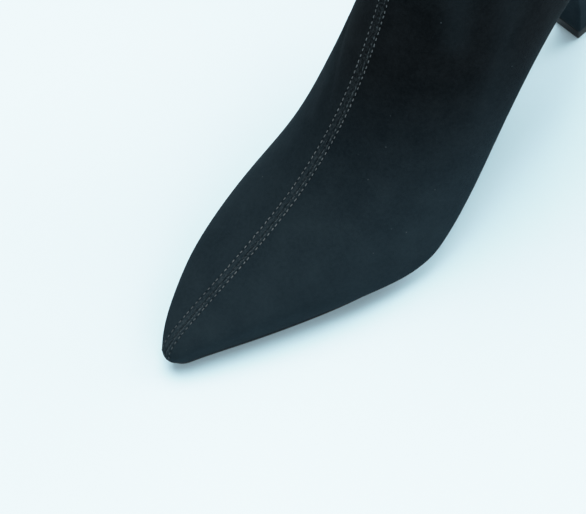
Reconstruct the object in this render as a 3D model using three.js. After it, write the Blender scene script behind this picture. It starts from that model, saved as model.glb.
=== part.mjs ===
// A high-heeled ankle boot for the left foot, in suede, with a pointed toe.
// Millimetres, +Z up, the toe towards -Y and the outer side of the foot towards +X.
import * as THREE from 'three';

// The last
const LENGTH = 240; // toe tip to the back of the heel, on the ground plan
const BALL_WIDTH = 84; // across the widest part of the forefoot
const INSTEP_HEIGHT = 66; // insole to the ridge of the vamp, over the waist
const SEAT_HEIGHT = 87; // how far the heel seat stands above the tread
const TOE_SPRING = 2.2; // how far the tip of the toe lifts off the tread
const ANKLE_WIDTH = 66; // side to side, over the ankle bones
const ANKLE_DEPTH = 90; // front to back, at the ankle
const SHAFT_HEIGHT = 134; // heel seat to collar

// The pieces
const WALL = 1.8; // suede with its lining
const OUTSOLE = 2.6; // under the tread
const WAIST_SOLE = 1.8; // outsole under the arch
const THINNED_BY = 0.5; // share of the rise to the seat by which the outsole has thinned
const INSOLE = 2.2;
const SKIVE = 0.8; // how much narrower the insole is on top than below, on each side
const SOLE_INSET = 0.4; // how far the outsole's edge lies inside the upper's
const CLEARANCE = 0.3; // between two pieces that meet

// The heel
const BREAST = 50; // back of the heel to the heel's front face, at the seat
const TIP_WIDTH = 13;
const TIP_DEPTH = 13;
const TIP_BACK = 13; // how far the tip's back edge stands inside the heel's back
const TOP_PIECE = 5; // thickness of the walking surface under the heel
const BACK_CURVE = 2.6; // 1 gives a straight line down to the tip, more draws it in sooner
const FRONT_CURVE = 2.2;
const SIDE_CURVE = 2.4;

// How finely the forms are divided
const RINGS_PER_SECTION = 2;
const SIDE_POINTS = 18;
const HEEL_LEVELS = 14;
const SMALLEST_STEP = 1e-4; // points nearer than this are one point

// The sections of the last from the toe's tip to the back of the heel seat. Each one stands
// on the insole and leans towards the toe by a number of degrees.
//   along     from the toe's tip, in shares of LENGTH
//   spring    lift of the toe, in shares of TOE_SPRING
//   pitch     rise to the heel, in shares of SEAT_HEIGHT
//   height    insole to ridge, in shares of INSTEP_HEIGHT
//   swing     the ridge line's way to the outer side, in shares of BALL_WIDTH
//   outer     ridge line to the outer side, in shares of BALL_WIDTH, and inner to the inner side
//   outerEdge, innerEdge   the same at the insole's edge
//   widest    where up the section it is widest, in shares of its height
//   fullness  2 gives an ellipse over the ridge, less gives a roof
const FOOT_COLUMNS = ['along', 'spring', 'pitch', 'lean', 'height', 'swing',
  'outer', 'inner', 'outerEdge', 'innerEdge', 'widest', 'fullness'];
const FOOT_SECTIONS = {
  tip: [0.0030, 1.000, 0.000, 17.9, 0.043, 0.006, 0.000, 0.000, 0.000, 0.000, 0.62, 1.95],
  nose: [0.0067, 0.985, 0.000, 14.7, 0.096, 0.009, 0.025, 0.034, 0.019, 0.027, 0.61, 1.95],
  nail: [0.0167, 0.900, 0.000, 11.7, 0.154, 0.014, 0.055, 0.075, 0.045, 0.061, 0.59, 1.97],
  cap: [0.0396, 0.690, 0.000, 8.8, 0.213, 0.008, 0.096, 0.123, 0.079, 0.100, 0.58, 1.94],
  toe: [0.0792, 0.410, 0.000, 5.0, 0.274, 0.002, 0.161, 0.189, 0.133, 0.155, 0.57, 1.92],
  toes: [0.1375, 0.120, 0.000, 1.9, 0.363, 0.006, 0.237, 0.280, 0.201, 0.232, 0.52, 1.87],
  vamp: [0.2083, 0.000, 0.000, 0.0, 0.473, 0.011, 0.324, 0.359, 0.278, 0.305, 0.39, 1.83],
  ball: [0.2833, 0.000, 0.000, 0.0, 0.606, 0.016, 0.405, 0.417, 0.349, 0.353, 0.26, 1.81],
  joint: [0.3542, 0.000, 0.000, 0.0, 0.775, 0.012, 0.469, 0.438, 0.398, 0.358, 0.15, 1.78],
  waist: [0.4250, 0.000, 0.062, 2.7, 0.897, 0.007, 0.503, 0.430, 0.411, 0.324, 0.09, 1.75],
  shank: [0.5000, 0.000, 0.190, 7.9, 0.973, 0.002, 0.499, 0.408, 0.384, 0.265, 0.15, 1.73],
  arch: [0.5917, 0.000, 0.378, 16.8, 1.042, 0.005, 0.468, 0.377, 0.333, 0.211, 0.23, 1.75],
  instep: [0.7000, 0.000, 0.616, 31.5, 1.097, 0.008, 0.437, 0.349, 0.307, 0.212, 0.31, 1.84],
  breast: [0.8083, 0.000, 0.820, 45.8, 1.237, 0.010, 0.411, 0.345, 0.306, 0.243, 0.40, 1.90],
  seat: [0.9000, 0.000, 0.928, 52.3, 1.466, 0.006, 0.410, 0.362, 0.297, 0.255, 0.43, 1.95],
  heel: [0.9625, 0.000, 0.980, 53.8, 1.664, 0.003, 0.406, 0.376, 0.199, 0.183, 0.46, 1.99],
  back: [0.9896, 0.000, 1.000, 53.0, 1.772, 0.002, 0.401, 0.386, 0.000, 0.000, 0.49, 2.02],
};

// The sections of the shaft, from just above the heel seat to the collar.
//   setback   from the furthest back point of the boot, in shares of ANKLE_DEPTH
//   rise      from the heel seat, in shares of SHAFT_HEIGHT
//   depth     back to front along the section, in shares of ANKLE_DEPTH
//   half      half of the width, in shares of ANKLE_WIDTH
const SHAFT_COLUMNS = ['setback', 'rise', 'lean', 'depth', 'half', 'widest', 'fullness'];
const SHAFT_SECTIONS = {
  counter: [0.003, 0.098, 56.2, 1.263, 0.497, 0.52, 2.04],
  tendon: [0.027, 0.232, 60.0, 1.169, 0.498, 0.54, 2.07],
  hollow: [0.066, 0.381, 63.7, 1.071, 0.500, 0.55, 2.10],
  ankle: [0.094, 0.530, 68.7, 0.994, 0.502, 0.55, 2.12],
  cuff: [0.088, 0.687, 75.6, 0.964, 0.511, 0.54, 2.13],
  hem: [0.049, 0.843, 83.2, 0.987, 0.526, 0.53, 2.15],
  collar: [0.000, 1.000, 90.0, 1.047, 0.541, 0.52, 2.15],
};

const TREAD_TOP = OUTSOLE + CLEARANCE; // the insole's lower face over the tread
const HEEL_BACK = LENGTH / 2;

function named(columns, values) {
  return Object.fromEntries(columns.map((column, k) => [column, values[k]]));
}

// Where a section's ridge lies over its lower end, which stands on the insole or the back seam.
function ridgeOf(y, z, lean, height) {
  const turn = THREE.MathUtils.degToRad(lean);
  return { y, z, ridgeY: y - height * Math.sin(turn), ridgeZ: z + height * Math.cos(turn) };
}

function footSection(values) {
  const row = named(FOOT_COLUMNS, values);
  const y = (row.along - 0.5) * LENGTH;
  const z = TREAD_TOP + row.spring * TOE_SPRING + row.pitch * SEAT_HEIGHT;
  return {
    ...ridgeOf(y, z, row.lean, row.height * INSTEP_HEIGHT),
    pitch: row.pitch,
    swing: row.swing * BALL_WIDTH,
    outer: row.outer * BALL_WIDTH,
    inner: row.inner * BALL_WIDTH,
    outerEdge: row.outerEdge * BALL_WIDTH,
    innerEdge: row.innerEdge * BALL_WIDTH,
    widest: row.widest,
    fullness: row.fullness,
  };
}

function shaftSection(values) {
  const row = named(SHAFT_COLUMNS, values);
  const y = HEEL_BACK - row.setback * ANKLE_DEPTH;
  const z = TREAD_TOP + SEAT_HEIGHT + row.rise * SHAFT_HEIGHT;
  return {
    ...ridgeOf(y, z, row.lean, row.depth * ANKLE_DEPTH),
    pitch: 1,
    swing: 0,
    outer: row.half * ANKLE_WIDTH,
    inner: row.half * ANKLE_WIDTH,
    outerEdge: 0,
    innerEdge: 0,
    widest: row.widest,
    fullness: row.fullness,
  };
}

const footSections = Object.values(FOOT_SECTIONS).map(footSection);
const shaftSections = Object.values(SHAFT_SECTIONS).map(shaftSection);
const sections = [...footSections, ...shaftSections];
const sectionKeys = Object.keys(sections[0]);
const BACK = footSections.length - 1; // the last section that stands on the insole
const SOLID_TOE = Object.keys(FOOT_SECTIONS).indexOf('cap'); // the toe is solid up to here

// A smooth curve through values at 0, 1, 2 and so on, which never swings past them.
function smooth(values, at) {
  const last = values.length - 1;
  const k = Math.min(Math.floor(at), last - 1);
  const t = at - k;
  const slope = (i) => {
    if (i === 0 || i === last) return 0;
    const [arriving, leaving] = [values[i] - values[i - 1], values[i + 1] - values[i]];
    if (arriving * leaving <= 0) return 0;
    const steepest = 3 * Math.min(Math.abs(arriving), Math.abs(leaving));
    return Math.sign(leaving) * Math.min(steepest, Math.abs(arriving + leaving) / 2);
  };
  const [from, to] = [values[k], values[k + 1]];
  const [start, end] = [slope(k), slope(k + 1)];
  return from + t * (start + t * (3 * (to - from) - 2 * start - end
    + t * (2 * (from - to) + start + end)));
}

function sectionAt(at) {
  return Object.fromEntries(sectionKeys.map((key) => [key, smooth(sections.map((s) => s[key]), at)]));
}

// Where along the foot's sections a place on the ground plan lies.
function placeOf(y) {
  let [front, back] = [0, BACK];
  const ys = footSections.map((section) => section.y);
  while (back - front > SMALLEST_STEP / LENGTH) {
    const middle = (front + back) / 2;
    if (smooth(ys, middle) < y) front = middle;
    else back = middle;
  }
  return (front + back) / 2;
}

// One side of a section, from its edge at the bottom to the ridge, as points that give the
// way across and the share of the way up.
function sidePoints(section, side) {
  const wide = section[side];
  const edge = section[side + 'Edge'];
  const power = 2 / section.fullness;
  const low = wide > 0 ? Math.acos(Math.min(1, (edge / wide) ** (1 / power))) : Math.PI / 2;
  const reach = section.widest / Math.sin(low) ** power; // the lower curve closes this far below
  return Array.from({ length: SIDE_POINTS + 1 }, (_, k) => {
    if (k === 0) return [edge, 0];
    if (k === SIDE_POINTS) return [0, 1];
    const turn = -low + (low + Math.PI / 2) * (k / SIDE_POINTS);
    const span = turn < 0 ? reach : 1 - section.widest;
    const across = wide * Math.max(0, Math.cos(turn)) ** power;
    return [across, section.widest + Math.sign(turn) * span * Math.abs(Math.sin(turn)) ** power];
  });
}

// A whole section in space: up the outer side, over the ridge and down the inner side.
function ringAt(at) {
  const section = sectionAt(at);
  const place = (across, up) => new THREE.Vector3(
    section.swing + across,
    THREE.MathUtils.lerp(section.y, section.ridgeY, up),
    THREE.MathUtils.lerp(section.z, section.ridgeZ, up),
  );
  const outer = sidePoints(section, 'outer').map(([across, up]) => place(across, up));
  const inner = sidePoints(section, 'inner').map(([across, up]) => place(-across, up));
  return [...outer, ...inner.reverse().slice(1)];
}

const RING_COUNT = (sections.length - 1) * RINGS_PER_SECTION;
const rings = Array.from({ length: RING_COUNT + 1 }, (_, i) => ringAt(i / RINGS_PER_SECTION));

// Joins points that coincide, and leaves out the faces that this closes up.
function weld(points, faces) {
  const places = new Map();
  const unique = [];
  const index = points.map((p) => {
    const key = [p.x, p.y, p.z].map((v) => Math.round(v / SMALLEST_STEP)).join();
    if (!places.has(key)) {
      places.set(key, unique.length);
      unique.push(p);
    }
    return places.get(key);
  });
  const kept = faces
    .map((face) => face.map((i) => index[i]))
    .filter(([a, b, c]) => a !== b && b !== c && c !== a);
  const geometry = new THREE.BufferGeometry().setFromPoints(unique);
  geometry.setIndex(kept.flat());
  return { geometry, index };
}

const turned = (faces) => faces.map(([a, b, c]) => [c, b, a]);

// Triangles between rows of as many points each. Row after row, with the points going left,
// the faces look up.
function skinFaces(rows, columns, start = 0) {
  const faces = [];
  for (let i = 0; i < rows - 1; i += 1) {
    for (let j = 0; j < columns - 1; j += 1) {
      const a = start + i * columns + j;
      faces.push([a, a + columns, a + 1], [a + 1, a + columns, a + columns + 1]);
    }
  }
  return faces;
}

// Triangles across a row of points that goes up one side and down the other.
function bridgeFaces(start, columns) {
  const faces = [];
  for (let j = 0; j < (columns - 1) / 2; j += 1) {
    const across = start + columns - 1 - j;
    faces.push([start + j, start + j + 1, across], [start + j + 1, across - 1, across]);
  }
  return faces;
}

// The upper is one hollow wall, open at the collar and under the foot, and solid at the
// very end of the toe.
function upperGeometry() {
  const columns = rings[0].length;
  const outside = rings.flat();
  const { geometry, index } = weld(outside, skinFaces(rings.length, columns));
  geometry.computeVertexNormals();
  const normals = geometry.getAttribute('normal');
  const firstRing = SOLID_TOE * RINGS_PER_SECTION;
  const backRing = BACK * RINGS_PER_SECTION;
  const inside = outside.map((point, k) => {
    const normal = new THREE.Vector3().fromBufferAttribute(normals, index[k]);
    const ring = Math.floor(k / columns);
    const column = k % columns;
    const onCollar = ring === rings.length - 1;
    const onEdge = ring <= backRing && (column === 0 || column === columns - 1);
    if (onCollar || onEdge) normal.setZ(0).normalize();
    const made = point.clone().addScaledVector(normal, -WALL);
    if (onEdge) made.z = sectionAt(placeOf(made.y)).z;
    return made;
  });
  const firstInside = outside.length + firstRing * columns;
  const faces = [
    ...skinFaces(rings.length, columns),
    ...turned(skinFaces(rings.length - firstRing, columns, firstInside)),
    ...turned(bridgeFaces(firstInside, columns)),
  ];
  const closeEdge = (a, b) => {
    const [c, d] = [a + outside.length, b + outside.length];
    faces.push([a, c, b], [b, c, d]);
  };
  for (let i = firstRing; i < backRing; i += 1) {
    closeEdge(i * columns, (i + 1) * columns);
    closeEdge((i + 2) * columns - 1, (i + 1) * columns - 1);
  }
  const collar = (rings.length - 1) * columns;
  for (let j = 0; j < columns - 1; j += 1) closeEdge(collar + j, collar + j + 1);
  const edges = (i) => [i * columns, (i + 1) * columns - 1];
  for (let i = 0; i < firstRing; i += 1) {
    const [outer, inner] = edges(i);
    const [nextOuter, nextInner] = edges(i + 1);
    faces.push([outer, inner, nextOuter], [nextOuter, inner, nextInner]);
  }
  const [outer, inner] = edges(firstRing);
  const [insideOuter, insideInner] = [outer + outside.length, inner + outside.length];
  faces.push([outer, inner, insideOuter], [insideOuter, inner, insideInner]);
  return weld([...outside, ...inside], faces).geometry;
}

// The insole's edge on the ground plan, moved inwards, as pairs of an outer and an inner
// point between two places along the foot.
function planPairs(inset, from, to) {
  const between = Array.from({ length: BACK * RINGS_PER_SECTION + 1 }, (_, i) => i / RINGS_PER_SECTION)
    .filter((at) => at > from && at < to);
  return [from, ...between, to].map((at) => {
    const middle = sectionAt(at);
    if (at === 0 || at === BACK) {
      const end = new THREE.Vector2(middle.swing, middle.y + (at === 0 ? inset : -inset));
      return [end, end];
    }
    return [1, -1].map((side) => {
      const edge = (k) => {
        const section = sectionAt(THREE.MathUtils.clamp(k, 0, BACK));
        return new THREE.Vector2(
          section.swing + side * (side > 0 ? section.outerEdge : section.innerEdge),
          section.y,
        );
      };
      const near = 0.5 / RINGS_PER_SECTION;
      const along = edge(at + near).sub(edge(at - near)).normalize();
      return edge(at).add(new THREE.Vector2(-along.y, along.x).multiplyScalar(side * inset));
    });
  });
}

// A plate between two outlines that follow the insole's lower face at a height over it.
function plateGeometry(topPairs, bottomPairs, top, bottom) {
  const place = (p, offset) => {
    const section = sectionAt(placeOf(p.y));
    return new THREE.Vector3(p.x, p.y, section.z + offset(section));
  };
  const points = topPairs.flatMap(([outer, inner], k) => {
    const [outerBelow, innerBelow] = bottomPairs[k];
    const corner = place(outer, top);
    return [corner, place(inner, top), place(innerBelow, bottom), place(outerBelow, bottom), corner];
  });
  const faces = skinFaces(topPairs.length, 5);
  const end = points.length - 5;
  faces.push([0, 1, 2], [0, 2, 3], [end, end + 2, end + 1], [end, end + 3, end + 2]);
  return weld(points, faces).geometry;
}

// The insole lies inside the upper, and its edge is skived to clear the leaning wall.
function insoleGeometry() {
  const front = placeOf(sections[SOLID_TOE].y + WALL + CLEARANCE);
  const outline = (skive) => planPairs(WALL + CLEARANCE + skive, front, BACK);
  return plateGeometry(outline(SKIVE), outline(0), () => INSOLE, () => 0);
}

// The outsole thins from the tread towards the waist and ends at the heel's front face.
function outsoleGeometry() {
  const outline = planPairs(SOLE_INSET, 0, placeOf(HEEL_BACK - BREAST - CLEARANCE));
  const thickness = ({ pitch }) => THREE.MathUtils.lerp(
    OUTSOLE,
    WAIST_SOLE,
    Math.min(1, pitch / THINNED_BY),
  );
  return plateGeometry(outline, outline, () => -CLEARANCE, (s) => -CLEARANCE - thickness(s));
}

// A slim heel, lofted from the outline of the seat to the outline of its tip.
function heelGeometry() {
  const seat = planPairs(SOLE_INSET, placeOf(HEEL_BACK - BREAST), BACK);
  const front = seat[0][0].y;
  const back = seat[seat.length - 1][0].y;
  const half = Math.max(...seat.map(([outer, inner]) => (outer.x - inner.x) / 2));
  const tipBack = HEEL_BACK - TIP_BACK;
  const loop = [
    ...seat.map(([outer]) => outer),
    ...seat.slice(0, -1).reverse().map(([, inner]) => inner),
  ];
  const heights = loop.map((p) => sectionAt(placeOf(p.y)).z - CLEARANCE);
  const levels = Array.from({ length: HEEL_LEVELS + 1 }, (_, k) => {
    const down = k / HEEL_LEVELS;
    const left = (curve) => (1 - down) ** curve; // how much of the seat's form is left
    const levelBack = THREE.MathUtils.lerp(tipBack, back, left(BACK_CURVE));
    const levelFront = THREE.MathUtils.lerp(tipBack - TIP_DEPTH, front, left(FRONT_CURVE));
    const widen = THREE.MathUtils.lerp(TIP_WIDTH / 2 / half, 1, left(SIDE_CURVE));
    const ring = loop.map((p, i) => new THREE.Vector3(
      p.x * widen,
      THREE.MathUtils.mapLinear(p.y, front, back, levelFront, levelBack),
      THREE.MathUtils.lerp(heights[i], TOP_PIECE + CLEARANCE, down),
    ));
    return [...ring, ring[0]];
  });
  const columns = loop.length + 1;
  const faces = [
    ...skinFaces(levels.length, columns),
    ...bridgeFaces(0, loop.length),
    ...turned(bridgeFaces((levels.length - 1) * columns, loop.length)),
  ];
  return weld(levels.flat(), faces).geometry;
}

function topPieceGeometry() {
  const outline = new THREE.Shape();
  const round = TIP_WIDTH / 2;
  outline.moveTo(-round, -TIP_DEPTH);
  outline.lineTo(round, -TIP_DEPTH);
  outline.lineTo(round, -round);
  outline.absarc(0, -round, round, 0, Math.PI);
  outline.closePath();
  return new THREE.ExtrudeGeometry(outline, { depth: TOP_PIECE, bevelEnabled: false });
}

const suede = new THREE.MeshStandardMaterial({ color: 0x17191b, roughness: 0.95, metalness: 0 });
const lining = new THREE.MeshStandardMaterial({ color: 0x1c1c1e, roughness: 0.8, metalness: 0 });
const leatherSole = new THREE.MeshStandardMaterial({ color: 0x202326, roughness: 0.6, metalness: 0 });
const rubber = new THREE.MeshStandardMaterial({ color: 0x0e0f10, roughness: 0.7, metalness: 0 });

function piece(name, geometry, material) {
  geometry.computeVertexNormals();
  const mesh = new THREE.Mesh(geometry, material);
  mesh.name = name;
  return mesh;
}

const topPiece = piece('top_piece', topPieceGeometry(), rubber);
topPiece.position.set(0, HEEL_BACK - TIP_BACK, 0);

const boot = new THREE.Group();
boot.add(
  piece('upper', upperGeometry(), suede),
  piece('insole', insoleGeometry(), lining),
  piece('outsole', outsoleGeometry(), leatherSole),
  piece('heel', heelGeometry(), suede),
  topPiece,
);

// The origin is the middle of the boot's bounding box, on the floor.
const bounds = new THREE.Box3().setFromObject(boot);
const middle = bounds.getCenter(new THREE.Vector3());
boot.position.set(-middle.x, -middle.y, -bounds.min.z);

export default boot;
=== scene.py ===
import math
import random
from collections import namedtuple

import bmesh
import bpy
import numpy as np
from mathutils import Matrix, Vector
from mathutils.bvhtree import BVHTree
from mathutils.kdtree import KDTree


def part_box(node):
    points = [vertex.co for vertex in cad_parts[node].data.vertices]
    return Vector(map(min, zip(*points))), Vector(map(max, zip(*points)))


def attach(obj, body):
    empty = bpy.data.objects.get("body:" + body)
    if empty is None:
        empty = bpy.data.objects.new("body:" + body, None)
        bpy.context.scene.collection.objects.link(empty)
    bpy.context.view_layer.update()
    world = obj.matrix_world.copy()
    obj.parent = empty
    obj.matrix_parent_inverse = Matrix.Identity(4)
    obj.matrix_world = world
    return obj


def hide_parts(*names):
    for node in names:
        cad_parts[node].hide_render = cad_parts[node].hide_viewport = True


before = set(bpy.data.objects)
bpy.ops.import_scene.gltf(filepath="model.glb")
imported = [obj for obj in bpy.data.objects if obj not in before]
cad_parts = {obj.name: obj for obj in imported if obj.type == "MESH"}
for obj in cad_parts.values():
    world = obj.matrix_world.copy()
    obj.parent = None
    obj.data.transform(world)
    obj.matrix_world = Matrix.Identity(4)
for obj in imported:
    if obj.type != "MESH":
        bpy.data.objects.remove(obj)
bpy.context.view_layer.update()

MM = 0.001

# The front seam runs from the toe's tip up to the collar. Each row says how far to the side
# it lies (x) where it passes a place along the foot (y), in millimetres.
SeamPlace = namedtuple("SeamPlace", "along side")
SEAM_PLACES = [
    SeamPlace(-120.0, -3.2),
    SeamPlace(-100.0, -3.3),
    SeamPlace(-70.0, -2.6),
    SeamPlace(-50.0, -2.2),
    SeamPlace(-20.0, -2.8),
    SeamPlace(0.0, -3.2),
    SeamPlace(30.0, -3.5),
]
SEAM_BACK = 50.0 * MM  # the front seam lies in front of this, and the back seam behind it
SEAM_STEP = 0.5 * MM
SEAM_ROW = 1.95 * MM  # from the middle of the seam to each row of top-stitching
SEAM_JOIN = 0.35 * MM  # the join lies this far to the outer side of the middle
SEAM_BAND = 6.0 * MM  # the skin is finer as far as this from the seam
SEAM_SWELL = 0.40 * MM  # how far the turned-in margins lift the suede
SEAM_SWELL_WIDTH = 3.2 * MM
SEAM_GROOVE = 0.22 * MM
SEAM_GROOVE_WIDTH = 0.6 * MM
BACK_SEAM_SIDE = -3.5 * MM

STITCH_START = 3.0 * MM
STITCH_END = 1.5 * MM
STITCH_PITCH = 2.35 * MM
STITCH_LENGTH = 1.42 * MM
STITCH_THICKNESS = 0.40 * MM
STITCH_LIFT = 0.06 * MM
HEM_ROW = 4.0 * MM  # from the collar's rim to its row of stitches

# The middle of the boot's hollow, from the toe to the collar
HOLLOW = np.array([
    (-3.0, -112.0, 10.0), (-3.0, -80.0, 14.0), (-3.0, -50.0, 20.0), (-3.0, -20.0, 36.0),
    (-3.0, 15.0, 70.0), (-3.5, 45.0, 100.0), (-3.5, 65.0, 130.0), (-3.5, 68.0, 224.0),
]) * MM

# Soft folds of the suede, in millimetres: how far each lifts or sinks, how wide it is and
# where it runs
Fold = namedtuple("Fold", "lift width path")
FOLDS = {
    "ankle trough": Fold(-0.55, 3.0, [
        (-23, 2, 82), (-19, -8, 74), (-15.5, -14.5, 69), (-12, -22, 63), (-10, -29, 58),
    ]),
    "ankle ridge": Fold(0.30, 3.0, [(-26, 1, 79), (-22, -9, 71), (-18.5, -16, 66), (-15, -23.5, 60)]),
    "outer trough": Fold(-0.35, 1.8, [(31, 33, 94.5), (31.5, 28, 88), (32.5, 22, 79), (33, 17, 70)]),
    "instep trough": Fold(-0.25, 6.0, [(14, -6, 84), (22, 0, 84), (28, 8, 84)]),
}

# Where the suede is painted lighter: brushed nap up the shaft, a strip beside the ankle fold and painted
# sheen along the shaft's outer edge; how strongly, how wide in millimetres and along which path
Stroke = namedtuple("Stroke", "strength width path")
LIGHTER_NAP_AND_SHEEN = {
    "shaft": Stroke(0.20, 5.0, [(19, 21, 116), (20.5, 17, 106), (22, 14, 98)]),
    # Painted sheen: the shaft's outer edge, by its silhouette, is painted lighter
    "painted sheen on the outer edge of the shaft": Stroke(0.18, 6.0, [(30, 34, 104), (33, 26, 84), (34, 14, 64)]),
    "beside the ankle fold": Stroke(0.30, 2.0, [(-24, -4, 76), (-18, -16, 66)]),
}

# The tip of the toe is a little fuller and rounder than the CAD solid
TIP_CORNER = np.array((-2.0, -119.5, 7.5)) * MM
TIP_FILL = 1.0 * MM
TIP_WIDTH = 6.5 * MM

# The upper's two materials, by their place in its list
SKIN = 0
INSIDE = 1

SMOOTHING = 2  # how often each face of a smoothed piece is divided


# Lines, and how far points lie from them

def nearest_on_path(points, path):
    """For each point, the nearest place on a broken line."""
    best = np.full((len(points), 3), np.inf)
    for start, end in zip(path, path[1:]):
        along = end - start
        share = np.clip((points - start) @ along / (along @ along), 0.0, 1.0)
        place = start + share[:, None] * along
        nearer = np.linalg.norm(points - place, axis=1) < np.linalg.norm(points - best, axis=1)
        best[nearer] = place[nearer]
    return best


def closeness(points, row):
    """1 on the path of a fold or stroke, falling softly to 0 beside it."""
    gap = np.linalg.norm(points - nearest_on_path(points, np.array(row.path) * MM), axis=1)
    return np.exp(-((gap / (row.width * MM)) ** 2))


def even_path(points, step):
    """The same line with its points a step apart, eased a little, and each one's way along it."""
    along = np.concatenate([[0.0], np.cumsum(np.linalg.norm(np.diff(points, axis=0), axis=1))])
    fine = np.arange(0.0, along[-1], step)
    curve = np.stack([np.interp(fine, along, points[:, k]) for k in range(3)], axis=1)
    for _ in range(6):
        curve[1:-1] = (curve[:-2] + 2 * curve[1:-1] + curve[2:]) / 4
    run = np.concatenate([[0.0], np.cumsum(np.linalg.norm(np.diff(curve, axis=0), axis=1))])
    return curve, run


def path_finder(path):
    """Finds the nearest of a path's points."""
    tree = KDTree(len(path))
    for k, place in enumerate(path):
        tree.insert(Vector(place), k)
    tree.balance()
    return tree


def seam_side(along):
    """How far to the side the front seam lies at a place along the foot."""
    places = [row.along for row in SEAM_PLACES]
    sides = [row.side for row in SEAM_PLACES]
    return float(np.interp(along / MM, places, sides)) * MM


# Helpers for materials

def new_group(name, inputs, outputs):
    """An empty node group with float and colour sockets."""
    group = bpy.data.node_groups.new(name, "ShaderNodeTree")
    for socket, kind, value in inputs:
        made = group.interface.new_socket(socket, in_out="INPUT", socket_type="NodeSocket" + kind)
        made.default_value = value
    for socket, kind in outputs:
        group.interface.new_socket(socket, in_out="OUTPUT", socket_type="NodeSocket" + kind)
    start = group.nodes.new("NodeGroupInput")
    end = group.nodes.new("NodeGroupOutput")
    return group, start.outputs, end.inputs


def node(tree, kind, inputs=None, **settings):
    """A node with its settings, its plain values and its links."""
    made = tree.nodes.new("ShaderNode" + kind)
    for key, value in settings.items():
        setattr(made, key, value)
    for key, value in (inputs or {}).items():
        if isinstance(value, bpy.types.NodeSocket):
            tree.links.new(value, made.inputs[key])
        else:
            made.inputs[key].default_value = value
    return made


def maths(tree, operation, a, b=0.0):
    return node(tree, "Math", {0: a, 1: b}, operation=operation).outputs[0]


def plus(tree, a, b):
    return maths(tree, "ADD", a, b)


def minus(tree, a, b):
    return maths(tree, "SUBTRACT", a, b)


def times(tree, a, b):
    return maths(tree, "MULTIPLY", a, b)


def larger(tree, a, b):
    return maths(tree, "MAXIMUM", a, b)


def weighted(tree, first, second, share):
    """A share of the first value and the rest of the second."""
    return plus(tree, times(tree, first, share), times(tree, second, 1.0 - share))


def blend(tree, share, low, high):
    return node(tree, "Mix", {0: share, 6: low, 7: high}, data_type="RGBA").outputs[2]


def ramp(tree, value, low, high, start=0.0, end=1.0):
    """From start to end while the value goes from low to high."""
    return node(tree, "MapRange", {0: value, 1: low, 2: high, 3: start, 4: end}).outputs[0]


def soft_ramp(tree, value, low, high):
    made = node(tree, "MapRange", {0: value, 1: low, 2: high}, interpolation_type="SMOOTHSTEP")
    return made.outputs[0]


def between(tree, value, middle, near, far):
    """1 within near of the middle, falling to 0 at far."""
    gap = maths(tree, "ABSOLUTE", minus(tree, value, middle))
    return ramp(tree, gap, near, far, 1.0, 0.0)


def noise(tree, place, scale, detail=3.0, roughness=0.55):
    settings = {"Vector": place, "Scale": scale, "Detail": detail, "Roughness": roughness}
    return node(tree, "TexNoise", settings).outputs["Fac"]


def cells(tree, place, scale):
    return node(tree, "TexVoronoi", {"Vector": place, "Scale": scale}, feature="F1").outputs


def object_place(tree):
    return node(tree, "TexCoord").outputs["Object"]


def axes(tree, place):
    """The x, y and z of a place."""
    return node(tree, "SeparateXYZ", {0: place}).outputs


def attribute(tree, name):
    return node(tree, "Attribute", attribute_name=name).outputs["Fac"]


def new_material(name, **values):
    material = bpy.data.materials.new(name)
    material.use_nodes = True
    tree = material.node_tree
    tree.nodes.clear()
    shader = tree.nodes.new("ShaderNodeBsdfPrincipled")
    out = tree.nodes.new("ShaderNodeOutputMaterial")
    tree.links.new(shader.outputs[0], out.inputs[0])
    for key, value in values.items():
        shader.inputs[key.replace("_", " ")].default_value = value
    return material, tree, shader


def bump(tree, shader, height, distance):
    made = node(tree, "Bump", {"Height": height, "Distance": distance, "Strength": 1.0})
    tree.links.new(made.outputs[0], shader.inputs["Normal"])


# Suede: a short nap that is brushed lighter and darker in patches, with a little lint on it.
# Its colour also holds painted shade by height: lightest on the foot, darkest at the ankle and a little
# lighter again up the shaft.

Nap = namedtuple("Nap", "dark light")
FOOT_NAP = Nap((0.0062, 0.0118, 0.0158, 1.0), (0.0136, 0.0226, 0.0280, 1.0))
# The ankle's and the shaft's naps are the foot's suede darkened by painted shade
ANKLE_NAP_IN_PAINTED_SHADE = Nap((0.0008, 0.0014, 0.0018, 1.0), (0.0072, 0.0090, 0.0102, 1.0))
SHAFT_NAP_IN_PAINTED_SHADE = Nap((0.0024, 0.0040, 0.0052, 1.0), (0.0098, 0.0138, 0.0162, 1.0))
ANKLE_SHADE_FROM = 28.0 * MM  # heights between which the foot's colour turns into the ankle's painted shade
ANKLE_SHADE_TO = 92.0 * MM
SHAFT_SHADE_FROM = 100.0 * MM  # and the ankle's painted shade into the shaft's lighter painted shade
SHAFT_SHADE_TO = 160.0 * MM
LINT = (0.046, 0.057, 0.063, 1.0)
JOIN_DARK = (0.0016, 0.0022, 0.0028, 1.0)
FRAYED = (0.066, 0.082, 0.090, 1.0)
NAP_RELIEF = 0.22 * MM


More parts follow.
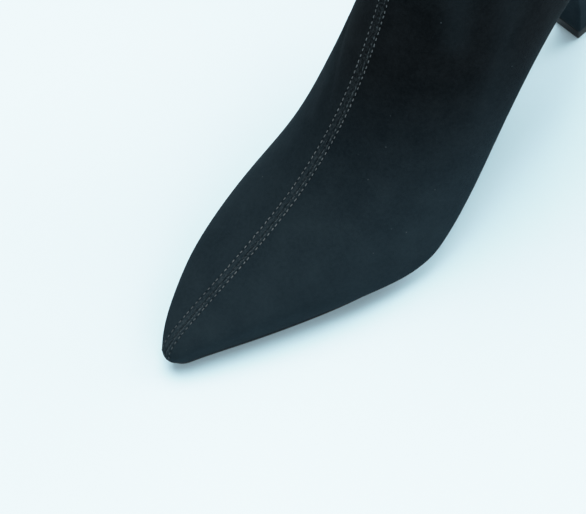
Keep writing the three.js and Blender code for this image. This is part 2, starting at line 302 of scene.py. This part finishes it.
def suede_group():
    group, given, made = new_group("suede nap", [
        ("Dark", "Color", FOOT_NAP.dark),
        ("Light", "Color", FOOT_NAP.light),
        ("Lint", "Float", 1.0),
    ], [("Color", "Color"), ("Height", "Float")])
    place = object_place(group)
    fibres = noise(group, place, 2600.0, 4.0, 0.7)
    tufts = noise(group, place, 700.0, 3.0, 0.6)
    patches = noise(group, place, 90.0, 3.0, 0.6)
    sweeps = noise(group, place, 22.0, 2.0, 0.5)
    fine = weighted(group, fibres, tufts, 0.55)
    broad = weighted(group, patches, sweeps, 0.5)
    tone = weighted(group, fine, broad, 0.55)
    colour = blend(group, ramp(group, tone, 0.36, 0.64), given["Dark"], given["Light"])
    specks = cells(group, place, 300.0)
    chance = node(group, "SeparateColor", {0: specks["Color"]}).outputs
    near = ramp(group, specks["Distance"], 0.11, 0.05)
    rare = maths(group, "GREATER_THAN", chance[0], 0.89)
    lint = times(group, times(group, near, rare), given["Lint"])
    group.links.new(blend(group, times(group, lint, chance[1]), colour, LINT), made["Color"])
    height = plus(group, weighted(group, fibres, tufts, 0.5), times(group, lint, 0.6))
    group.links.new(height, made["Height"])
    return group


SUEDE = suede_group()


def front_seam(tree, colour, height):
    """The join between its frayed lips, the fluff beside it and the holes of the stitches."""
    offset = attribute(tree, "seam_offset")
    run = attribute(tree, "seam_run")
    place = object_place(tree)
    join_place = SEAM_JOIN / MM
    row_place = SEAM_ROW / MM
    wobble = minus(tree, noise(tree, place, 650.0, 2.0), 0.5)
    ragged = plus(tree, offset, times(tree, wobble, 1.1))
    lengthwise = node(tree, "CombineXYZ", {0: times(tree, offset, 2.4), 1: times(tree, run, 0.75)})
    strokes = ramp(tree, noise(tree, lengthwise.outputs[0], 1.0, 2.0), 0.50, 0.62)
    fluff = ramp(tree, noise(tree, place, 900.0, 2.0, 0.7), 0.52, 0.66)
    join = between(tree, ragged, join_place, 0.04, 0.36)
    lip = times(tree, between(tree, ragged, join_place + 0.46, 0.14, 0.44), strokes)
    inner = between(tree, offset, 0.0, row_place - 0.7, row_place - 0.2)
    beside = times(tree, inner, larger(tree, strokes, fluff))
    row = between(tree, maths(tree, "ABSOLUTE", offset), row_place, 0.15, 0.55)
    turns = times(tree, minus(tree, run, STITCH_START / MM), 2.0 * math.pi * MM / STITCH_PITCH)
    hole = times(tree, row, ramp(tree, maths(tree, "COSINE", turns), -0.35, -0.9))
    dark = larger(tree, times(tree, join, 0.50), times(tree, hole, 0.40))
    light = larger(tree, times(tree, lip, 0.90), times(tree, beside, 0.20))
    colour = blend(tree, dark, colour, JOIN_DARK)
    colour = blend(tree, light, colour, FRAYED)
    sunk = plus(tree, plus(tree, join, times(tree, row, 0.4)), times(tree, hole, 0.4))
    return colour, minus(tree, height, sunk)


def back_seam(tree, colour, height):
    """A plain closed join down the back of the shaft."""
    place = axes(tree, object_place(tree))
    behind = maths(tree, "GREATER_THAN", place[1], SEAM_BACK)
    join = times(tree, between(tree, place[0], BACK_SEAM_SIDE, 0.1 * MM, 0.4 * MM), behind)
    colour = blend(tree, times(tree, join, 0.7), colour, JOIN_DARK)
    return colour, minus(tree, height, times(tree, join, 1.5))


def suede_material(name, with_seams):
    material, tree, shader = new_material(
        name, Roughness=1.0, Sheen_Weight=0.012, Sheen_Roughness=0.5,
        Sheen_Tint=(0.55, 0.80, 1.0, 1.0), Specular_IOR_Level=0.03,
    )
    # Painted shade by height: the suede darkens from the foot to the ankle and lightens a little up the
    # shaft
    up = axes(tree, object_place(tree))[2]
    ankle_shade = soft_ramp(tree, up, ANKLE_SHADE_FROM, ANKLE_SHADE_TO)
    at_shaft = soft_ramp(tree, up, SHAFT_SHADE_FROM, SHAFT_SHADE_TO)
    dark = blend(tree, ankle_shade, FOOT_NAP.dark, ANKLE_NAP_IN_PAINTED_SHADE.dark)
    light = blend(tree, ankle_shade, FOOT_NAP.light, ANKLE_NAP_IN_PAINTED_SHADE.light)
    nap = node(tree, "Group", node_tree=SUEDE)
    tree.links.new(blend(tree, at_shaft, dark, SHAFT_NAP_IN_PAINTED_SHADE.dark), nap.inputs["Dark"])
    tree.links.new(blend(tree, at_shaft, light, SHAFT_NAP_IN_PAINTED_SHADE.light), nap.inputs["Light"])
    colour = nap.outputs["Color"]
    height = nap.outputs["Height"]
    if with_seams:
        # Lighter strokes of the nap, partly painted sheen along the outer edge of the shaft
        colour = blend(tree, attribute(tree, "lighter_nap_and_sheen"), colour, FOOT_NAP.light)
        colour, height = front_seam(tree, colour, height)
        colour, height = back_seam(tree, colour, height)
    tree.links.new(colour, shader.inputs["Base Color"])
    bump(tree, shader, height, NAP_RELIEF)
    return material


# Smooth leather for the lining and the sole, and the same grain for the heel's rubber tip

def leather_group():
    group, given, made = new_group("smooth leather", [
        ("Dark", "Color", (0.01, 0.01, 0.01, 1.0)),
        ("Light", "Color", (0.03, 0.03, 0.03, 1.0)),
        ("Grain", "Float", 1.0),
    ], [("Color", "Color"), ("Roughness", "Float"), ("Height", "Float")])
    place = object_place(group)
    scuffs = noise(group, place, 60.0, 4.0, 0.6)
    fine = noise(group, place, 1500.0, 3.0, 0.6)
    colour = blend(group, ramp(group, scuffs, 0.35, 0.65), given["Dark"], given["Light"])
    height = weighted(group, cells(group, place, 900.0)["Distance"], fine, 0.6)
    group.links.new(colour, made["Color"])
    group.links.new(ramp(group, scuffs, 0.3, 0.7, 0.42, 0.62), made["Roughness"])
    group.links.new(times(group, height, given["Grain"]), made["Height"])
    return group


LEATHER = leather_group()


def leather_material(name, dark, light, grain, relief, **values):
    material, tree, shader = new_material(name, **values)
    grained = node(tree, "Group", node_tree=LEATHER)
    grained.inputs["Dark"].default_value = (*dark, 1.0)
    grained.inputs["Light"].default_value = (*light, 1.0)
    grained.inputs["Grain"].default_value = grain
    tree.links.new(grained.outputs["Color"], shader.inputs["Base Color"])
    tree.links.new(grained.outputs["Roughness"], shader.inputs["Roughness"])
    bump(tree, shader, grained.outputs["Height"], relief)
    return material


# Thread: worn dull at the toe, and duller again up the shaft

def thread_material(name, dark, light):
    material, tree, shader = new_material(name, Roughness=0.75)
    place = object_place(tree)
    twist = noise(tree, place, 2400.0, 2.0)
    faded = noise(tree, place, 45.0, 2.0)
    tone = weighted(tree, twist, faded, 0.5)
    colour = blend(tree, ramp(tree, tone, 0.38, 0.62), (*dark, 1.0), (*light, 1.0))
    along = axes(tree, place)[1]
    at_toe = ramp(tree, along, -112.0 * MM, -78.0 * MM, 0.75, 0.0)
    at_shaft = ramp(tree, along, -45.0 * MM, 0.0, 0.0, 0.30)
    colour = blend(tree, plus(tree, at_toe, at_shaft), colour, FOOT_NAP.light)
    tree.links.new(colour, shader.inputs["Base Color"])
    bump(tree, shader, twist, 0.1 * MM)
    return material


suede = suede_material("suede", with_seams=True)
plain_suede = suede_material("suede heel cover", with_seams=False)
lining = leather_material(
    "lining leather", dark=(0.010, 0.010, 0.011), light=(0.020, 0.020, 0.022),
    grain=1.0, relief=0.06 * MM,
)
sole_leather = leather_material(
    "sole leather", dark=(0.0050, 0.0088, 0.0118), light=(0.0100, 0.0164, 0.0210),
    grain=0.6, relief=0.05 * MM, Specular_IOR_Level=0.12,
)
rubber = leather_material(
    "heel rubber", dark=(0.0060, 0.0072, 0.0084), light=(0.0120, 0.0138, 0.0154),
    grain=0.8, relief=0.08 * MM, Specular_IOR_Level=0.2,
)
thread = thread_material("grey thread", dark=(0.040, 0.050, 0.055), light=(0.130, 0.148, 0.156))
dark_thread = thread_material("dark thread", dark=(0.010, 0.013, 0.016), light=(0.026, 0.031, 0.035))


# Helpers for pieces

def from_cad(name):
    """A copy of a CAD node's mesh with its corners merged, as a bmesh."""
    mesh = bmesh.new()
    mesh.from_mesh(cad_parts[name].data)
    bmesh.ops.remove_doubles(mesh, verts=mesh.verts, dist=0.01 * MM)
    return mesh


def finish_piece(mesh, name, materials, replaced=None):
    data = bpy.data.meshes.new(name)
    mesh.to_mesh(data)
    mesh.free()
    piece = bpy.data.objects.new(name, data)
    bpy.context.scene.collection.objects.link(piece)
    for material in materials:
        data.materials.append(material)
    data.polygons.foreach_set("use_smooth", [True] * len(data.polygons))
    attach(piece, "root")
    if replaced:
        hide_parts(replaced)
    return piece


def sharp_edges(mesh, degrees):
    limit = math.radians(degrees)
    return [edge for edge in mesh.edges if len(edge.link_faces) == 2 and edge.calc_face_angle(0.0) > limit]


def creased_from_cad(name, degrees, crease):
    """A CAD node's mesh in four-sided faces, with its sharp edges creased for smoothing."""
    mesh = from_cad(name)
    bmesh.ops.join_triangles(
        mesh, faces=mesh.faces,
        angle_face_threshold=math.radians(40), angle_shape_threshold=math.radians(60),
    )
    creases = mesh.edges.layers.float.new("crease_edge")
    for edge in sharp_edges(mesh, degrees):
        edge[creases] = crease
    return mesh


def settle(piece):
    """Gives the piece its subdivided mesh for good."""
    modifier = piece.modifiers.new("smooth", "SUBSURF")
    modifier.levels = SMOOTHING
    modifier.render_levels = SMOOTHING
    shape = piece.evaluated_get(bpy.context.evaluated_depsgraph_get())
    data = bpy.data.meshes.new_from_object(shape)
    piece.modifiers.clear()
    old = piece.data
    piece.data = data
    bpy.data.meshes.remove(old)
    data.name = piece.name


def from_vertices(data, name):
    """Each vertex's place or normal, as rows of three."""
    flat = np.empty(len(data.vertices) * 3)
    data.vertices.foreach_get(name, flat)
    return flat.reshape(-1, 3)


def tip_fill(points, outward):
    """How far each point moves sideways for the fuller tip of the toe."""
    gap = np.linalg.norm(points - TIP_CORNER, axis=1)
    level = outward * np.array((1.0, 1.0, 0.0))
    return level * (TIP_FILL * np.exp(-((gap / TIP_WIDTH) ** 2)))[:, None]


# The upper: the CAD wall, smoothed, with the suede outside and the lining inside

def make_upper():
    mesh = creased_from_cad("upper", 55, 0.75)
    middles = np.array([face.calc_center_median() for face in mesh.faces])
    outward = middles - nearest_on_path(middles, HOLLOW)
    for face, away in zip(mesh.faces, outward):
        looks_in = face.normal.dot(Vector(away).normalized()) < -0.2
        face.material_index = INSIDE if looks_in else SKIN
    piece = finish_piece(mesh, "upper_suede", [suede, lining], "upper")
    settle(piece)
    return piece


def seam_line(data):
    """The line of the front seam, from the toe's tip to the collar, cut from the outer skin."""
    mesh = bmesh.new()
    mesh.from_mesh(data)
    inside = [face for face in mesh.faces if face.material_index == INSIDE]
    bmesh.ops.delete(mesh, geom=inside, context="FACES")
    for vert in mesh.verts:
        vert.co.x -= seam_side(vert.co.y)
    cut = bmesh.ops.bisect_plane(
        mesh, geom=[*mesh.verts, *mesh.edges, *mesh.faces],
        plane_co=(0, 0, 0), plane_no=(1, 0, 0), dist=0.02 * MM,
    )["geom_cut"]
    mesh.normal_update()
    left = {
        vert for vert in cut if isinstance(vert, bmesh.types.BMVert)
        and vert.co.y < SEAM_BACK and vert.normal.z > -0.25
    }
    edges = {
        edge for edge in cut if isinstance(edge, bmesh.types.BMEdge) and left.issuperset(edge.verts)
    }
    ends = [vert for vert in left if sum(edge in edges for edge in vert.link_edges) == 1]
    here = max(ends, key=lambda vert: vert.co.z)
    path = []
    while here is not None:
        path.append((here.co.x + seam_side(here.co.y), here.co.y, here.co.z))
        left.discard(here)
        onward = [edge.other_vert(here) for edge in here.link_edges if edge in edges]
        here = next((vert for vert in onward if vert in left), None)
    mesh.free()
    return np.array(path[::-1])


# The front seam as a line of points: each one's way along the seam, the seam's direction
# there, and a finder of the nearest one
Seam = namedtuple("Seam", "path run directions finder")


def measure_seam(data):
    path, run = even_path(seam_line(data), SEAM_STEP)
    return Seam(path, run, np.gradient(path, axis=0), path_finder(path))


def refine_seam(piece, seam):
    """Finer faces in the band along the front seam, so that its relief is real."""
    mesh = bmesh.new()
    mesh.from_mesh(piece.data)
    near = {vert for vert in mesh.verts if seam.finder.find(vert.co)[2] < SEAM_BAND}
    skin = [face for face in mesh.faces if face.material_index == SKIN and near.issuperset(face.verts)]
    edges = list({edge for face in skin for edge in face.edges})
    bmesh.ops.subdivide_edges(mesh, edges=edges, cuts=1, use_grid_fill=True, smooth=0.0)
    mesh.to_mesh(piece.data)
    mesh.free()


def seam_measures(points, seam):
    """Each point's signed way across from the front seam and its way along it."""
    across = np.empty(len(points))
    along = np.empty(len(points))
    for i, point in enumerate(points):
        place, k, _ = seam.finder.find(Vector(point))
        direction = Vector(seam.directions[k]).normalized()
        away = Vector(point) - place
        further = away.dot(direction)
        across[i] = math.copysign((away - direction * further).length, away.x)
        along[i] = seam.run[k] + further
    return across, along


def shape_upper(data, seam):
    """The swelling and groove of the front seam, the soft folds and the tip of the toe."""
    points = from_vertices(data, "co")
    outward = from_vertices(data, "normal")
    outside = np.zeros(len(points), dtype=bool)
    for polygon in data.polygons:
        if polygon.material_index == SKIN:
            outside[polygon.vertices] = True
    across, along = seam_measures(points, seam)
    swell = SEAM_SWELL * np.exp(-((across / SEAM_SWELL_WIDTH) ** 4))
    groove = SEAM_GROOVE * np.exp(-(((across - SEAM_JOIN) / SEAM_GROOVE_WIDTH) ** 2))
    lift = swell - groove
    for fold in FOLDS.values():
        lift += fold.lift * MM * closeness(points, fold)
    # Lighter strokes of the nap, partly painted sheen along the outer edge of the shaft
    lighter_nap_and_sheen = np.zeros(len(points))
    for stroke in LIGHTER_NAP_AND_SHEEN.values():
        lighter_nap_and_sheen += stroke.strength * closeness(points, stroke)
    moved = points + (outward * lift[:, None] + tip_fill(points, outward)) * outside[:, None]
    data.vertices.foreach_set("co", moved.ravel())
    for name, values in (("seam_offset", across / MM), ("seam_run", along / MM), ("lighter_nap_and_sheen", lighter_nap_and_sheen)):
        data.attributes.new(name, "FLOAT", "POINT").data.foreach_set("value", values)
    data.update()


upper = make_upper()
front = measure_seam(upper.data)
refine_seam(upper, front)
shape_upper(upper.data, front)
outer_skin = BVHTree.FromPolygons(
    [vertex.co for vertex in upper.data.vertices],
    [tuple(polygon.vertices) for polygon in upper.data.polygons if polygon.material_index == SKIN],
)


# Stitches: two rows beside the front seam, and one round the collar

def add_stitch(mesh, place, normal, direction, turn, stretch):
    """One short arch of thread that lies on the suede."""
    lengthwise = (direction - normal * direction.dot(normal)).normalized()
    lengthwise = Matrix.Rotation(turn, 3, normal) @ lengthwise
    turned = Matrix((lengthwise, normal.cross(lengthwise), normal)).transposed().to_4x4()
    half = (STITCH_LENGTH * stretch / 2, STITCH_THICKNESS / 2, STITCH_THICKNESS / 2, 1.0)
    bmesh.ops.create_uvsphere(
        mesh, u_segments=8, v_segments=5, radius=1.0,
        matrix=Matrix.Translation(place + normal * STITCH_LIFT) @ turned @ Matrix.Diagonal(half),
    )


def make_seam_stitches(seam):
    mesh = bmesh.new()
    chance = random.Random(11)
    count = int((seam.run[-1] - STITCH_START - STITCH_END) / STITCH_PITCH)
    for side in (-1, 1):
        for step in range(count):
            k = int(np.searchsorted(seam.run, STITCH_START + step * STITCH_PITCH))
            direction = Vector(seam.directions[k]).normalized()
            middle = Vector(seam.path[k])
            _, normal, _, _ = outer_skin.find_nearest(middle)
            aside = direction.cross(Vector((normal.x * 0.2, normal.y, normal.z))).normalized()
            if aside.x < 0:
                aside = -aside
            place, normal, _, _ = outer_skin.find_nearest(middle + aside * (side * SEAM_ROW))
            turn = chance.uniform(-0.12, 0.12)
            add_stitch(mesh, place, normal, direction, turn, chance.uniform(0.85, 1.1))
    return finish_piece(mesh, "seam_stitches", [thread])


def make_hem_stitches():
    mesh = bmesh.new()
    chance = random.Random(12)
    middle = Vector(HOLLOW[-1])
    middle.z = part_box("upper")[1][2] - HEM_ROW
    corners = []
    for degrees in range(360):
        angle = math.radians(degrees)
        ray = Vector((math.cos(angle), math.sin(angle), 0.0))
        corners.append(outer_skin.ray_cast(middle + ray * 0.2, -ray)[0])
    loop, run = even_path(np.array([*corners, corners[0]]), SEAM_STEP)
    directions = np.gradient(loop, axis=0)
    for step in range(int(run[-1] / STITCH_PITCH)):
        k = int(np.searchsorted(run, step * STITCH_PITCH))
        place, normal, _, _ = outer_skin.find_nearest(Vector(loop[k]))
        turn = chance.uniform(-0.08, 0.08)
        add_stitch(mesh, place, normal, Vector(directions[k]), turn, chance.uniform(0.9, 1.1))
    return finish_piece(mesh, "hem_stitches", [dark_thread])


make_seam_stitches(front)
make_hem_stitches()


# The pieces under and inside the upper: smoothed or rounded copies of the CAD solids

def smooth_copy(name, piece_name, material, crease_degrees):
    mesh = creased_from_cad(name, crease_degrees, 0.8)
    piece = finish_piece(mesh, piece_name, [material], name)
    settle(piece)
    return piece


def make_outsole():
    data = smooth_copy("outsole", "outsole_edge", sole_leather, crease_degrees=50).data
    points = from_vertices(data, "co")
    moved = points + tip_fill(points, from_vertices(data, "normal"))
    data.vertices.foreach_set("co", moved.ravel())
    data.update()


def make_top_piece():
    mesh = from_cad("top_piece")
    bmesh.ops.dissolve_limit(mesh, angle_limit=math.radians(1), verts=mesh.verts, edges=mesh.edges)
    bmesh.ops.bevel(
        mesh, geom=sharp_edges(mesh, 40), offset=0.5 * MM, offset_type="OFFSET",
        segments=3, profile=0.5, affect="EDGES", material=-1, clamp_overlap=True,
    )
    return finish_piece(mesh, "heel_top_piece", [rubber], "top_piece")


smooth_copy("insole", "sock_lining", lining, crease_degrees=50)
make_outsole()
smooth_copy("heel", "heel_cover", plain_suede, crease_degrees=60)
make_top_piece()


# Floor and light: a bright pale studio, where most of the light comes from above and behind

def make_floor():
    mesh = bmesh.new()
    bmesh.ops.create_grid(mesh, x_segments=1, y_segments=1, size=4.0)
    data = bpy.data.meshes.new("floor")
    mesh.to_mesh(data)
    mesh.free()
    floor = bpy.data.objects.new("floor", data)
    bpy.context.scene.collection.objects.link(floor)
    material, _, _ = new_material(
        "pale floor", Base_Color=(0.66, 0.86, 0.95, 1.0), Roughness=0.55, Specular_IOR_Level=0.25,
    )
    data.materials.append(material)


def add_lamp(name, kind, energy, colour, toward):
    """A lamp that shines from the given direction."""
    data = bpy.data.lights.new(name, kind)
    data.energy = energy
    data.color = colour
    lamp = bpy.data.objects.new(name, data)
    lamp.rotation_euler = Vector(toward).to_track_quat("Z", "Y").to_euler()
    bpy.context.scene.collection.objects.link(lamp)
    return lamp


def even_light(name, toward, strength, spread, colour):
    """A broad soft light from far away, so that the floor stays evenly lit."""
    lamp = add_lamp(name, "SUN", strength, colour, toward)
    lamp.data.angle = math.radians(spread)


def near_light(name, place, aim, width, height, watts, colour):
    """A soft rectangle of light beside the boot."""
    lamp = add_lamp(name, "AREA", watts, colour, Vector(place) - Vector(aim))
    lamp.location = place
    lamp.data.shape = "RECTANGLE"
    lamp.data.size = width
    lamp.data.size_y = height


def make_walls():
    """Pale walls all round, brightest at the height of the boot."""
    world = bpy.data.worlds.new("studio")
    bpy.context.scene.world = world
    world.use_nodes = True
    tree = world.node_tree
    height = axes(tree, node(tree, "TexCoord").outputs["Generated"])[2]
    strength = ramp(tree, maths(tree, "ABSOLUTE", height), 0.04, 0.30, 1.15, 0.45)
    tree.links.new(strength, tree.nodes["Background"].inputs["Strength"])
    tree.nodes["Background"].inputs["Color"].default_value = (0.88, 0.98, 1.0, 1.0)


make_floor()
even_light("overhead", toward=(-0.16, 0.24, 1.0), strength=3.15, spread=46.0, colour=(0.95, 0.99, 1.0))
even_light("rear window", toward=(0.24, 0.83, 0.60), strength=1.7, spread=38.0, colour=(0.93, 0.98, 1.0))
near_light(
    "side window", place=(1.4, -0.1, 0.9), aim=(0.0, 0.0, 0.05), width=1.4, height=1.0,
    watts=9.0, colour=(0.93, 0.98, 1.0),
)
make_walls()

# The highlights roll off softly towards the white of the floor: each brightness and what it
# turns into
Tone = namedtuple("Tone", "before after")
SHOULDER = [
    Tone(0.0, 0.0),
    Tone(0.35, 0.35),
    Tone(0.60, 0.59),
    Tone(0.80, 0.73),
    Tone(1.0, 0.83),
    Tone(1.3, 0.90),
    Tone(1.7, 0.95),
    Tone(3.0, 1.0),
]


def soft_highlights():
    view = bpy.context.scene.view_settings
    view.view_transform = "Standard"
    view.use_curve_mapping = True
    mapping = view.curve_mapping
    mapping.clip_max_x = SHOULDER[-1].before
    mapping.clip_max_y = SHOULDER[-1].after
    curve = mapping.curves[3]
    curve.points[0].location = SHOULDER[0]
    curve.points[1].location = SHOULDER[-1]
    for tone in SHOULDER[1:-1]:
        curve.points.new(tone.before, tone.after)
    mapping.update()


soft_highlights()

# The photograph's viewpoint: over the outer side of the toe, with the frame rolled
AZIMUTH = math.radians(64.17)
ELEVATION = math.radians(60.39)
ROLL = math.radians(-17.45)
AIM = Vector((7.652, -62.43, 25.484)) * MM
DISTANCE = 587.5 * MM
SENSOR = 36.0  # in millimetres, as the lens
LENS = 96.34


def make_camera():
    back = Vector((
        math.sin(AZIMUTH) * math.cos(ELEVATION),
        -math.cos(AZIMUTH) * math.cos(ELEVATION),
        math.sin(ELEVATION),
    ))
    level = Vector((math.cos(AZIMUTH), math.sin(AZIMUTH), 0.0))
    upward = back.cross(level)
    right = level * math.cos(ROLL) + upward * math.sin(ROLL)
    up = upward * math.cos(ROLL) - level * math.sin(ROLL)
    data = bpy.data.cameras.new("camera")
    data.sensor_width = SENSOR
    data.lens = LENS
    data.clip_start = 0.01
    data.clip_end = 20.0
    camera = bpy.data.objects.new("camera", data)
    turned = Matrix((right, up, back)).transposed().to_4x4()
    camera.matrix_world = Matrix.Translation(AIM + back * DISTANCE) @ turned
    bpy.context.scene.collection.objects.link(camera)
    bpy.context.scene.camera = camera


make_camera()
